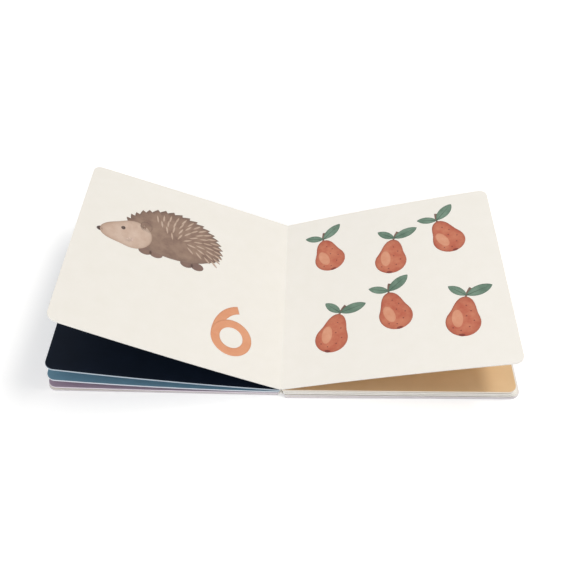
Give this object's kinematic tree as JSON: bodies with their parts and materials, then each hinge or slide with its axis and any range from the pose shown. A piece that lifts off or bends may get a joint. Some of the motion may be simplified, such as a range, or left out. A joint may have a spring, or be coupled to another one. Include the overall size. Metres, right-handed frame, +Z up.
{
  "type": "baby board book",
  "caption": "Square board book lying open at a middle spread, with thick round-cornered leaves glued at the spine and a stiff cover hinged under each half.",
  "frame": {"origin": "on the table, under the middle of the gutter of the open book", "axes": "+X to the right across the open spread, +Y up the page towards its head, +Z up from the table"},
  "size_m": [0.366, 0.18, 0.0851],
  "materials": {
    "printed_leaves": "satin",
    "spine_wrap": "satin",
    "front_cover_board": "satin",
    "back_cover_board": "satin"
  },
  "bodies": {
    "book_block": {"pages": "printed_leaves", "spine": "spine_wrap"},
    "front_cover": {"front_cover": "front_cover_board"},
    "back_cover": {"back_cover": "back_cover_board"}
  },
  "joints": [
    {"name": "front_cover_hinge", "type": "hinge", "parent": "book_block", "child": "front_cover", "pos_m": [-0.0024, 0, 0.00173], "axis": [0, -1, 0], "range_deg": [0, 90]},
    {"name": "back_cover_hinge", "type": "hinge", "parent": "book_block", "child": "back_cover", "pos_m": [0.003, 0, 0.00147], "axis": [0, 1, 0], "range_deg": [0, 90]}
  ]
}
